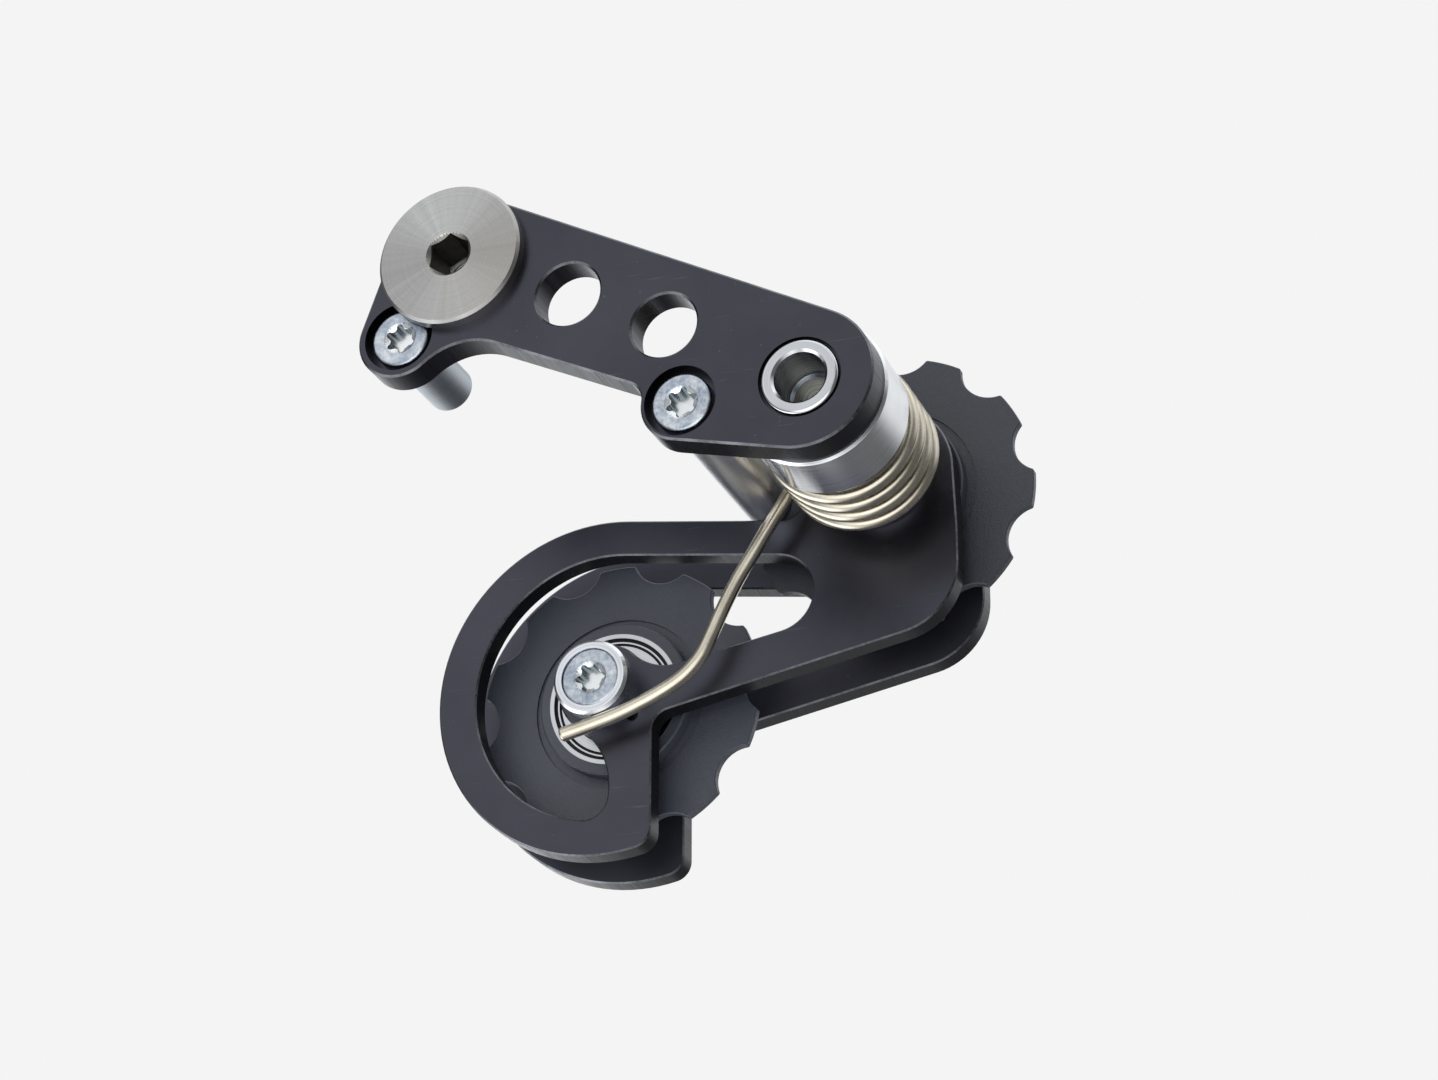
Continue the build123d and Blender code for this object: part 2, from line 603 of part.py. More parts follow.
def main():
    os.makedirs("parts", exist_ok=True)
    for name, make in NODES.items():
        shape = make()
        bb = shape.bounding_box()
        vol = sum(s.volume for s in shape.solids())
        print("%-20s solids %d vol %8.1f  x %.1f..%.1f y %.1f..%.1f z %.1f..%.1f valid %s" % (
            name, len(shape.solids()), vol, bb.min.X, bb.max.X, bb.min.Y, bb.max.Y, bb.min.Z, bb.max.Z,
            shape.is_valid() if callable(shape.is_valid) else shape.is_valid))
        export_step(shape, os.path.join("parts", name + ".step"))


main()
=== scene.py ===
"""Looks for the sprung bicycle chain tensioner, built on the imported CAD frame. Metres, row frame."""
import math

import bpy
import bmesh
import numpy as np
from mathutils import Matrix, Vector


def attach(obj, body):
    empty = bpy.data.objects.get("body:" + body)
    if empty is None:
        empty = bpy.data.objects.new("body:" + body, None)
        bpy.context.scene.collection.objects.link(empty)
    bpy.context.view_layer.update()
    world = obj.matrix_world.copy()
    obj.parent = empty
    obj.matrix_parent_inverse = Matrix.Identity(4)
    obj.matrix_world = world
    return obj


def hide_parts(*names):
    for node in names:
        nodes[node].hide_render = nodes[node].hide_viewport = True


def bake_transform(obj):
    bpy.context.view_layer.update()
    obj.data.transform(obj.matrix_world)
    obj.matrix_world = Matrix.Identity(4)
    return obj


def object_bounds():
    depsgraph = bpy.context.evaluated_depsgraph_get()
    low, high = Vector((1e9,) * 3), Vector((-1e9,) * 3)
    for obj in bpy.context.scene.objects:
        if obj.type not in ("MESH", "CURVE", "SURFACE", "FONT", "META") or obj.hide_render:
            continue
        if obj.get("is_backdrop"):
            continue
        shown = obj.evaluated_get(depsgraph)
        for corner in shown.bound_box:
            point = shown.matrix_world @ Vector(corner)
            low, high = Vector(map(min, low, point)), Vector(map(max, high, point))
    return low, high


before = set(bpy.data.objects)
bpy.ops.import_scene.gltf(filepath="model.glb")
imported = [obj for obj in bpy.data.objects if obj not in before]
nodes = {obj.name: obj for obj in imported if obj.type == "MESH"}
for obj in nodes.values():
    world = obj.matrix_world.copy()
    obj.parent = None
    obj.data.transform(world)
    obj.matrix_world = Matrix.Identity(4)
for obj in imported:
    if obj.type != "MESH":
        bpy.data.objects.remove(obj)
cad_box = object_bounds()
MM = 0.001

# ------------------------------------------------------------------ facts shared with the CAD
PIVOT = (44.5, -23.5)
LOWER = (8.5, -46.75)
COLLAR_L = 8.6
WIRE_R = 0.9
COIL_R = 8.8
COIL_PITCH = 2.75
COIL_BOTTOM_Y = 11.0
TANG = (PIVOT[0] + 2.2, PIVOT[1] + 7.4)
LEG = [(35.50, 21.30, -24.30), (34.86, 21.33, -25.50), (33.80, 21.36, -27.00), (31.97, 21.40, -29.70), (29.62, 21.45, -33.35),
       (27.66, 21.50, -36.40), (25.79, 21.55, -39.90), (24.15, 21.60, -43.35), (23.12, 21.60, -45.35),
       (21.80, 21.60, -46.98), (20.12, 21.60, -48.38), (17.50, 21.60, -49.78), (14.78, 21.60, -50.93),
       (12.10, 21.60, -51.88), (9.40, 21.60, -52.62), (6.80, 21.60, -53.24), (4.60, 21.60, -53.72)]
PLATE_Y = -4.2
BOLT_REACH = 9.0
THREAD_R = 4.98
SHOULDER_R = 5.4
SHOULDER_END = -0.1


# ------------------------------------------------------------------ node helpers
class Mat:
    """A small builder for one node material."""

    def __init__(self, name):
        self.m = bpy.data.materials.new(name)
        self.m.use_nodes = True
        self.t = self.m.node_tree
        self.b = next(n for n in self.t.nodes if n.type == "BSDF_PRINCIPLED")
        self.co = self.new("ShaderNodeTexCoord").outputs["Object"]

    def new(self, kind, **props):
        n = self.t.nodes.new(kind)
        for k, v in props.items():
            setattr(n, k, v)
        return n

    def link(self, a, b):
        self.t.links.new(a, b)

    def set(self, **kw):
        for k, v in kw.items():
            s = self.b.inputs[k.replace("_", " ")]
            s.default_value = (*v, 1.0) if isinstance(v, tuple) else v
        return self

    def math(self, op, a, b=None, c=None):
        n = self.new("ShaderNodeMath", operation=op)
        for i, v in enumerate((a, b, c)):
            if v is None:
                continue
            if isinstance(v, (int, float)):
                n.inputs[i].default_value = v
            else:
                self.link(v, n.inputs[i])
        return n.outputs[0]

    def shifted(self, off=(0, 0, 0), scale=(1, 1, 1)):
        n = self.new("ShaderNodeMapping")
        n.inputs["Location"].default_value = off
        n.inputs["Scale"].default_value = scale
        self.link(self.co, n.inputs["Vector"])
        return n.outputs[0]

    def noise(self, scale, detail=3.0, rough=0.55, vec=None, dist=0.0):
        n = self.new("ShaderNodeTexNoise")
        n.inputs["Scale"].default_value = scale
        n.inputs["Detail"].default_value = detail
        n.inputs["Roughness"].default_value = rough
        n.inputs["Distortion"].default_value = dist
        self.link(vec if vec is not None else self.co, n.inputs["Vector"])
        return n.outputs["Fac"]

    def noise1(self, w, scale, detail=2.0):
        n = self.new("ShaderNodeTexNoise", noise_dimensions="1D")
        n.inputs["Scale"].default_value = scale
        n.inputs["Detail"].default_value = detail
        self.link(w, n.inputs["W"])
        return n.outputs["Fac"]

    def voronoi(self, scale, feature="F1", out="Distance", vec=None, rand=1.0):
        n = self.new("ShaderNodeTexVoronoi", feature=feature)
        n.inputs["Scale"].default_value = scale
        n.inputs["Randomness"].default_value = rand
        self.link(vec if vec is not None else self.co, n.inputs["Vector"])
        return n.outputs[out]

    def radius(self, centre):
        """Distance from the axis through centre (x, z, millimetres) along Y."""
        s = self.new("ShaderNodeSeparateXYZ")
        self.link(self.shifted((-centre[0] * MM, 0, -centre[1] * MM)), s.inputs[0])
        x2 = self.math("MULTIPLY", s.outputs[0], s.outputs[0])
        z2 = self.math("MULTIPLY", s.outputs[2], s.outputs[2])
        return self.math("SQRT", self.math("ADD", x2, z2))

    def axis(self, i):
        s = self.new("ShaderNodeSeparateXYZ")
        self.link(self.co, s.inputs[0])
        return s.outputs[i]

    def ramp(self, fac, stops):
        n = self.new("ShaderNodeValToRGB")
        e = n.color_ramp.elements
        while len(e) < len(stops):
            e.new(0.5)
        for el, (p, c) in zip(e, stops):
            el.position = p
            el.color = (*c, 1.0) if isinstance(c, tuple) else (c, c, c, 1.0)
        self.link(fac, n.inputs[0])
        return n.outputs[0]

    def range(self, v, a, b, c, d):
        n = self.new("ShaderNodeMapRange")
        for k, x in zip(("From Min", "From Max", "To Min", "To Max"), (a, b, c, d)):
            n.inputs[k].default_value = x
        self.link(v, n.inputs["Value"])
        return n.outputs[0]

    def mix(self, fac, a, b):
        n = self.new("ShaderNodeMix", data_type="RGBA")
        for sock, v in ((n.inputs[0], fac), (n.inputs[6], a), (n.inputs[7], b)):
            if isinstance(v, tuple):
                sock.default_value = (*v, 1.0)
            elif isinstance(v, (int, float)):
                sock.default_value = v
            else:
                self.link(v, sock)
        return n.outputs[2]

    def color(self, out):
        self.link(out, self.b.inputs["Base Color"])
        return self

    def rough(self, out):
        self.link(out, self.b.inputs["Roughness"])
        return self

    def bump(self, *layers):
        """Each layer is (height output, strength, distance in mm)."""
        prev = None
        for h, strength, dist in layers:
            n = self.new("ShaderNodeBump")
            n.inputs["Strength"].default_value = strength
            n.inputs["Distance"].default_value = dist * MM
            self.link(h, n.inputs["Height"])
            if prev is not None:
                self.link(prev, n.inputs["Normal"])
            prev = n.outputs[0]
        self.link(prev, self.b.inputs["Normal"])
        return self

    def turned(self, amount, rotation=0.25):
        """Turning marks round Y: highlights stretch across them."""
        t = self.new("ShaderNodeTangent", direction_type="RADIAL", axis="Y")
        self.link(t.outputs[0], self.b.inputs["Tangent"])
        self.b.inputs["Anisotropic"].default_value = amount
        self.b.inputs["Anisotropic Rotation"].default_value = rotation
        return self


# ------------------------------------------------------------------ materials
def black_anodised(name, seed, level, spread=0.0):
    k = Mat(name).set(Metallic=1.0)
    off = k.shifted((seed * 0.013, seed * 0.007, seed * 0.021))
    cloud = k.noise(60, 4, 0.62, off)
    fine = k.noise(3600, 2, 0.6)
    dark, pale = ((0.056 * level, 0.056 * level, 0.070 * level), (0.072 * level, 0.072 * level, 0.088 * level))
    base = k.mix(k.range(cloud, 0.3, 0.7, 0, 1), dark, pale)
    # hair scratches, a few, across the face
    scr = k.noise(1.0, 2, 0.5, k.shifted((seed * 0.1, 0, 0.3), (150, 60, 3200)))
    hair = k.range(scr, 0.70, 0.80, 0.0, 1.0)
    # tiny pale specks of rubbed coating
    speck = k.range(k.noise(1500, 2, 0.5, off), 0.72, 0.80, 0.0, 1.0)
    marks = k.math("MAXIMUM", k.math("MULTIPLY", hair, 0.16), k.math("MULTIPLY", speck, 0.30))
    k.color(k.mix(marks, base, (0.30, 0.30, 0.33)))
    k.rough(k.math("ADD", k.range(cloud, 0.3, 0.7, 0.27 + spread, 0.33 + spread), k.math("MULTIPLY", fine, 0.05)))
    return k.bump((fine, 0.35, 0.014), (k.noise(1300, 3, 0.6), 0.18, 0.02)).m


def black_cut(name, seed, level):
    """The milled walls of the black plates, with faint cutter lines."""
    k = Mat(name).set(Metallic=1.0)
    lines = k.noise(1.0, 2, 0.6, k.shifted((0, 0, 0), (4200, 60, 4200)))
    cloud = k.noise(90, 3, 0.6, k.shifted((seed * 0.017, 0, seed * 0.009)))
    k.color(k.mix(cloud, (0.045 * level, 0.045 * level, 0.052 * level), (0.070 * level, 0.070 * level, 0.078 * level)))
    k.rough(k.range(lines, 0.3, 0.7, 0.26, 0.40))
    return k.bump((lines, 0.18, 0.015)).m


def rubbed_edge_and_glint(name, seed):
    """The broken edges of the black plates: paler in patches, partly coating rubbed through and partly a painted glint
    along the chamfers.
    """
    k = Mat(name).set(Metallic=1.0)
    wear = k.noise(240, 4, 0.7, k.shifted((seed * 0.031, seed * 0.011, 0)))
    fine = k.noise(1900, 2, 0.6)
    both = k.math("ADD", k.math("MULTIPLY", wear, 0.7), k.math("MULTIPLY", fine, 0.3))
    f = k.range(both, 0.36, 0.68, 0.0, 1.0)
    # Painted glint mixed with wear: the chamfers go paler than the faces in noisy patches.
    k.color(k.mix(f, (0.085, 0.085, 0.095), (0.24, 0.24, 0.26)))
    k.rough(k.range(fine, 0.3, 0.7, 0.24, 0.36))
    return k.m


def turned_disc():
    k = Mat("turned_disc").set(Metallic=1.0)
    r = k.radius((0, 0))
    rings = k.noise1(r, 4200, 3)
    wide = k.noise1(r, 1300, 2)
    cloud = k.noise(120, 3, 0.6)
    grit = k.noise(2400, 2, 0.6)
    mixd = k.math("ADD", k.math("MULTIPLY", rings, 0.75), k.math("ADD", k.math("MULTIPLY", wide, 0.12), k.math("MULTIPLY", grit, 0.13)))
    # Painted highlight: a two-lobed fan and a one-sided sheen, broken by random radial streaks, brighten the face by
    # its angle round the bolt.
    angle = k.math("ARCTAN2", k.axis(2), k.axis(0))
    painted_highlight_fan = k.math("COSINE", k.math("MULTIPLY_ADD", angle, 2.0, -3.6))
    side = k.math("COSINE", k.math("MULTIPLY_ADD", angle, 1.0, -1.9))
    thin = k.noise1(angle, 7.0, 3)
    level = k.math("ADD", k.math("MULTIPLY", painted_highlight_fan, 0.42), k.math("MULTIPLY", side, 0.22))
    level = k.math("ADD", level, k.math("MULTIPLY_ADD", thin, 0.8, -0.4))
    c = k.mix(k.range(level, -0.9, 0.9, 0, 1), (0.34, 0.335, 0.325), (0.70, 0.70, 0.695))
    c = k.mix(k.range(mixd, 0.3, 0.7, 0.34, 0.0), c, (0.20, 0.196, 0.188))
    # Painted reflection: a warm tint on the side of the face towards the spring.
    painted_warm_reflection = k.range(k.math("COSINE", k.math("MULTIPLY_ADD", angle, 1.0, 0.55)), 0.2, 1.0, 0.0, 0.30)
    c = k.mix(painted_warm_reflection, c, (0.52, 0.47, 0.40))
    k.color(k.mix(k.math("MULTIPLY", cloud, 0.20), c, (0.40, 0.38, 0.35)))
    k.rough(k.range(rings, 0.3, 0.7, 0.24, 0.34))
    k.turned(0.85)
    return k.bump((rings, 0.18, 0.012), (grit, 0.12, 0.010)).m


def turned_metal(name, centre, c0, c1, rough=(0.20, 0.30), aniso=0.5, pitch=3600, strength=0.14):
    """A turned surface: fine marks round the axis, both on its side and on its faces."""
    k = Mat(name).set(Metallic=1.0)
    r = k.radius(centre)
    y = k.axis(1)
    w = k.math("ADD", r, y)
    rings = k.noise1(w, pitch, 2)
    cloud = k.noise(150, 3, 0.6)
    k.color(k.mix(k.range(k.math("ADD", k.math("MULTIPLY", rings, 0.6), k.math("MULTIPLY", cloud, 0.4)),
                          0.3, 0.7, 0, 1), c0, c1))
    k.rough(k.range(rings, 0.3, 0.7, *rough))
    k.turned(aniso)
    return k.bump((rings, strength, 0.010)).m


def zinc():
    k = Mat("zinc").set(Metallic=1.0)
    n1 = k.noise(1500, 4, 0.7)
    n2 = k.noise(4200, 2, 0.6)
    big = k.noise(420, 3, 0.6)
    f = k.range(k.math("ADD", k.math("MULTIPLY", n1, 0.6), k.math("MULTIPLY", big, 0.4)), 0.34, 0.66, 0, 1)
    k.color(k.ramp(f, [(0.0, (0.26, 0.32, 0.43)), (0.5, (0.52, 0.57, 0.64)), (1.0, (0.88, 0.90, 0.92))]))
    k.rough(k.range(n1, 0.3, 0.7, 0.24, 0.42))
    return k.bump((n1, 0.35, 0.03), (n2, 0.45, 0.02)).m


def zinc_painted_light_floor():
    """Inside the drive sockets: the socket floors painted near-white as painted light on the plating."""
    k = Mat("zinc_painted_light_floor").set(Metallic=1.0)
    n = k.noise(500, 3, 0.6)
    k.color(k.mix(n, (0.86, 0.90, 0.92), (0.99, 0.99, 0.99)))
    k.rough(k.range(n, 0.3, 0.7, 0.20, 0.30))
    return k.bump((n, 0.35, 0.06)).m


def zinc_painted_shade_wall():
    """The side walls of the drive sockets, painted dark as shade inside the recess."""
    k = Mat("zinc_painted_shade_wall").set(Metallic=1.0)
    n = k.noise(700, 3, 0.6)
    k.color(k.mix(n, (0.10, 0.13, 0.145), (0.26, 0.30, 0.32)))
    k.rough(k.range(n, 0.3, 0.7, 0.30, 0.42))
    return k.bump((n, 0.3, 0.03)).m


def painted_shade_gap():
    """The sunk ring between a bearing's shield and its outer race, painted near-black as shade."""
    k = Mat("painted_shade_gap").set(Metallic=1.0)
    n = k.noise(600, 3, 0.6)
    k.color(k.mix(n, (0.020, 0.020, 0.022), (0.045, 0.045, 0.05)))
    k.rough(k.range(n, 0.3, 0.7, 0.40, 0.55))
    return k.m


# Inside the bolt's hex socket: the same steel painted darker than the head, as shade in the recess.
def socket_steel_shaded():
    k = Mat("socket_steel_shaded").set(Metallic=1.0)
    n = k.noise(900, 3, 0.6)
    k.color(k.mix(n, (0.20, 0.19, 0.165), (0.44, 0.42, 0.38)))
    k.rough(k.range(n, 0.3, 0.7, 0.35, 0.5))
    return k.bump((n, 0.2, 0.02)).m


def spring_steel():
    k = Mat("spring_steel").set(Metallic=1.0)
    uv = k.new("ShaderNodeTexCoord").outputs["UV"]
    n = k.new("ShaderNodeMapping")
    n.inputs["Scale"].default_value = (9, 60, 1)
    k.link(uv, n.inputs["Vector"])
    streak = k.noise(6.0, 3, 0.6, n.outputs[0])
    cloud = k.noise(220, 4, 0.6)
    f = k.math("ADD", k.math("MULTIPLY", streak, 0.5), k.math("MULTIPLY", cloud, 0.5))
    k.color(k.ramp(f, [(0.30, (0.50, 0.445, 0.35)), (0.55, (0.76, 0.70, 0.58)), (0.8, (0.95, 0.90, 0.79))]))
    k.rough(k.range(f, 0.3, 0.7, 0.20, 0.34))
    return k.bump((streak, 0.15, 0.015), (k.noise(2600, 2, 0.6), 0.15, 0.008)).m


def plastic(name, seed, level):
    k = Mat(name).set(Metallic=0.0, IOR=1.48)
    g = k.voronoi(5200)
    n = k.noise(2600, 3, 0.65)
    cloud = k.noise(70, 3, 0.6, k.shifted((seed * 0.02, 0, 0)))
    k.color(k.mix(cloud, (0.031 * level, 0.034 * level, 0.046 * level), (0.048 * level, 0.052 * level, 0.068 * level)))
    k.b.inputs["Specular IOR Level"].default_value = 0.75
    k.rough(k.range(n, 0.3, 0.7, 0.34, 0.50))
    return k.bump((g, 0.45, 0.05), (n, 0.60, 0.05)).m


def nylon():
    k = Mat("nylon").set(Metallic=0.0, IOR=1.5)
    n = k.noise(700, 3, 0.6)
    k.color(k.mix(n, (0.62, 0.60, 0.55), (0.74, 0.72, 0.68)))
    k.rough(k.range(n, 0.3, 0.7, 0.45, 0.6))
    return k.bump((n, 0.2, 0.02)).m


def polished(name, centre, c0, c1, rough=(0.10, 0.18)):
    return turned_metal(name, centre, c0, c1, rough, 0.25, 5200, 0.05)


# One anodised finish on all three plates: the different per-plate colour levels, and the cage walls darker at 0.62
# against 0.95, are painted light and shade, not a different colour.
BLACK = {n: black_anodised("anodised_" + n, i + 1, level, spread) for i, (n, level, spread) in enumerate(
    (("mounting_plate", 1.17, 0.0), ("cage_front_plate", 1.22, 0.0), ("cage_rear_plate", 1.9, 0.22)))}
CUT = {n: black_cut("milled_" + n, i + 1, 0.95 if n == "mounting_plate" else 0.62) for i, n in enumerate(BLACK)}
EDGE = {n: rubbed_edge_and_glint("edge_" + n, i + 1) for i, n in enumerate(BLACK)}
DISC = turned_disc()
ZINC = zinc()
SOCKET_SHADE = socket_steel_shaded()
SPRING = spring_steel()
COLLAR = turned_metal("turned_collar", PIVOT, (0.74, 0.75, 0.77), (0.95, 0.95, 0.96), (0.17, 0.27), 0.6)
FERRULE = polished("polished_ferrule", PIVOT, (0.62, 0.63, 0.65), (0.80, 0.81, 0.83))
# The bore and floor of the pivot's hole: the same turned steel painted darker as shade inside the hole.
BORE_SHADE = turned_metal("ferrule_bore_shade", PIVOT, (0.23, 0.255, 0.285), (0.40, 0.435, 0.475), (0.26, 0.40), 0.4)
HOLE_FLOOR_SHADE = turned_metal("ferrule_floor_shade", PIVOT, (0.27, 0.25, 0.205), (0.46, 0.43, 0.37), (0.24, 0.36), 0.4)
PIN_1M = turned_metal("turned_pin_short", (-7.1, -9.35), (0.42, 0.46, 0.49), (0.60, 0.64, 0.68), (0.30, 0.42))
PIN_2M = turned_metal("turned_pin_long", (29.7, -24.1), (0.82, 0.83, 0.85), (0.97, 0.97, 0.97), (0.32, 0.44))
SLEEVE = turned_metal("turned_sleeve", LOWER, (0.70, 0.72, 0.76), (0.92, 0.94, 0.97), (0.16, 0.28))
AXLE_U = turned_metal("turned_axle_upper", PIVOT, (0.48, 0.48, 0.48), (0.64, 0.64, 0.64))
AXLE_L = turned_metal("turned_axle_lower", LOWER, (0.48, 0.48, 0.48), (0.64, 0.64, 0.64))
BEAR_U = polished("bearing_steel_upper", PIVOT, (0.56, 0.57, 0.59), (0.76, 0.77, 0.79), (0.16, 0.26))
BEAR_L = polished("bearing_steel_lower", LOWER, (0.56, 0.57, 0.59), (0.76, 0.77, 0.79), (0.16, 0.26))
# Both pulleys are one moulded plastic; their different levels (1.15 upper, 1.95 lower) are painted light and shade,
# not a different colour.
PLAST_U = plastic("moulded_black_upper", 1, 1.15)
PLAST_L = plastic("moulded_black_lower", 2, 1.95)
NYLON = nylon()


def wear(ob, *mats):
    ob.data.materials.clear()
    for m in mats:
        ob.data.materials.append(m)


def by_face(ob, pick):
    """Assign material indices from pick(centre in mm, normal)."""
    for p in ob.data.polygons:
        c = p.center
        p.material_index = pick((c.x / MM, c.y / MM, c.z / MM), p.normal)


for n in BLACK:
    wear(nodes[n], BLACK[n], CUT[n], EDGE[n])
    by_face(nodes[n], lambda c, v: 0 if abs(v.y) > 0.98 else (2 if abs(v.y) > 0.3 else 1))

for n, m in {
    "short_pin": PIN_1M, "long_pin": PIN_2M, "pivot_ferrule": FERRULE, "pivot_body": COLLAR,
    "thrust_washer": NYLON, "end_washer": AXLE_U, "upper_tube": AXLE_U, "lower_tube": AXLE_L,
    "upper_ring_front": AXLE_U, "upper_ring_rear": AXLE_U, "lower_ring_front": AXLE_L, "lower_ring_rear": AXLE_L,
    "lower_sleeve": SLEEVE, "rear_nut": AXLE_L, "short_pin_screw": ZINC, "long_pin_screw": ZINC,
    "lower_screw": ZINC, "end_screw": ZINC,
    "upper_bearing_inner": BEAR_U, "upper_bearing_outer": BEAR_U, "upper_bearing_balls": BEAR_U,
    "upper_shield_front": BEAR_U, "upper_shield_rear": BEAR_U,
    "lower_bearing_inner": BEAR_L, "lower_bearing_outer": BEAR_L, "lower_bearing_balls": BEAR_L,
    "lower_shield_front": BEAR_L, "lower_shield_rear": BEAR_L,
    "upper_pulley": PLAST_U, "lower_pulley": PLAST_L,
}.items():
    wear(nodes[n], m)


def from_pivot(c):
    return math.hypot(c[0] - PIVOT[0], c[2] - PIVOT[1])


wear(nodes["pivot_ferrule"], FERRULE, BORE_SHADE, HOLE_FLOOR_SHADE)
by_face(nodes["pivot_ferrule"], lambda c, v: (0 if from_pivot(c) > 3.3 else
        2 if v.y < -0.9 and c[1] > 2.3 else 1 if abs(v.y) < 0.3 and c[1] < 8.2 else 0))
wear(nodes["pivot_body"], COLLAR, BORE_SHADE)
by_face(nodes["pivot_body"], lambda c, v: 1 if from_pivot(c) < 3.65 and c[1] < 14.2 and abs(v.y) < 0.3 else 0)


ZINC_LIT_FLOOR = zinc_painted_light_floor()
ZINC_SHADED_WALL = zinc_painted_shade_wall()
SHADE_GAP = painted_shade_gap()
for n, c, front in (("short_pin_screw", (-7.1, -9.35), -3.8), ("long_pin_screw", (29.7, -24.1), -3.8),
                    ("lower_screw", LOWER, 21.15), ("end_screw", PIVOT, None)):
    wear(nodes[n], ZINC, ZINC_LIT_FLOOR, ZINC_SHADED_WALL)
    if front is not None:
        by_face(nodes[n], lambda q, v, c=c, front=front:
                0 if math.hypot(q[0] - c[0], q[2] - c[1]) > 2.0 or not front + 0.05 < q[1] < front + 1.55
                else (1 if abs(v.y) > 0.9 else 2))
for wheel, c, m in (("upper", PIVOT, BEAR_U), ("lower", LOWER, BEAR_L)):
    for side in ("front", "rear"):
        ob = nodes["%s_shield_%s" % (wheel, side)]
        wear(ob, m, SHADE_GAP)
        outer = 29.1 + 0.2 if side == "front" else 34.1 - 0.2
        by_face(ob, lambda q, v, c=c, outer=outer: 1 if math.hypot(q[0] - c[0], q[2] - c[1]) > 6.9
                and abs(q[1] - outer) > 0.05 else 0)


# ------------------------------------------------------------------ swept wire
def smooth_path(points, step):
    """Centripetal Catmull-Rom through points, cut into pieces of about step."""
    p = [np.array(q, float) for q in points]
    p = [2 * p[0] - p[1]] + p + [2 * p[-1] - p[-2]]
    out = []
    for i in range(1, len(p) - 2):
        a, b, c, d = p[i - 1:i + 3]
        t0 = 0.0
        t1 = t0 + np.linalg.norm(b - a) ** 0.5
        t2 = t1 + np.linalg.norm(c - b) ** 0.5
        t3 = t2 + np.linalg.norm(d - c) ** 0.5
        n = max(2, int(math.ceil(np.linalg.norm(c - b) / step)))
        for k in range(n):
            t = t1 + (t2 - t1) * k / n
            a1 = (t1 - t) / (t1 - t0) * a + (t - t0) / (t1 - t0) * b
            a2 = (t2 - t) / (t2 - t1) * b + (t - t1) / (t2 - t1) * c
            a3 = (t3 - t) / (t3 - t2) * c + (t - t2) / (t3 - t2) * d
            b1 = (t2 - t) / (t2 - t0) * a1 + (t - t0) / (t2 - t0) * a2
            b2 = (t3 - t) / (t3 - t1) * a2 + (t - t1) / (t3 - t1) * a3
            out.append((t2 - t) / (t2 - t1) * b1 + (t - t1) / (t2 - t1) * b2)
    out.append(p[-2])
    return np.array(out)


def tube_mesh(name, path, radius, sides=22, end_bevel=0.18):
    """A round wire along path, with slightly broken ends."""
    t = np.gradient(path, axis=0)
    t /= np.linalg.norm(t, axis=1)[:, None]
    u = np.cross(t[0], [0.0, 1.0, 0.31])
    u /= np.linalg.norm(u)
    rings, along = [], [0.0]
    for i in range(len(path)):
        if i:
            u = u - t[i] * np.dot(u, t[i])
            u /= np.linalg.norm(u)
            along.append(along[-1] + np.linalg.norm(path[i] - path[i - 1]))
        v = np.cross(t[i], u)
        rings.append((path[i], u.copy(), v))
    first, last = rings[0], rings[-1]
    seq = [(first[0], first[1], first[2], radius - end_bevel)]
    seq += [(first[0] + t[0] * end_bevel, first[1], first[2], radius)]
    seq += [(c, a, b, radius) for c, a, b in rings[1:-1]]
    seq += [(last[0] - t[-1] * end_bevel, last[1], last[2], radius), (last[0], last[1], last[2], radius - end_bevel)]
    s = [0.0, end_bevel] + along[1:-1] + [along[-1] - end_bevel, along[-1]]
    bm = bmesh.new()
    uvl = bm.loops.layers.uv.new("wire")
    vs = []
    for c, a, b, r in seq:
        ring = []
        for k in range(sides):
            w = 2 * math.pi * k / sides
            ring.append(bm.verts.new(Vector((c + (a * math.cos(w) + b * math.sin(w)) * r) * MM)))
        vs.append(ring)
    for i in range(len(vs) - 1):
        for k in range(sides):
            k2 = (k + 1) % sides
            f = bm.faces.new((vs[i][k], vs[i][k2], vs[i + 1][k2], vs[i + 1][k]))
            f.smooth = True
            for loop, (ii, kk) in zip(f.loops, ((i, k), (i, k + 1), (i + 1, k + 1), (i + 1, k))):
                loop[uvl].uv = (s[ii] * 0.01, kk / sides)
    for ring, flip in ((vs[0], True), (vs[-1], False)):
        bm.faces.new(list(reversed(ring)) if flip else ring)
    bmesh.ops.recalc_face_normals(bm, faces=bm.faces)
    me = bpy.data.meshes.new(name)
    bm.to_mesh(me)
    bm.free()
    ob = bpy.data.objects.new(name, me)
    bpy.context.scene.collection.objects.link(ob)
    return ob


def polar(c, r, deg):
    a = math.radians(deg)
    return c[0] + r * math.cos(a), c[1] + r * math.sin(a)


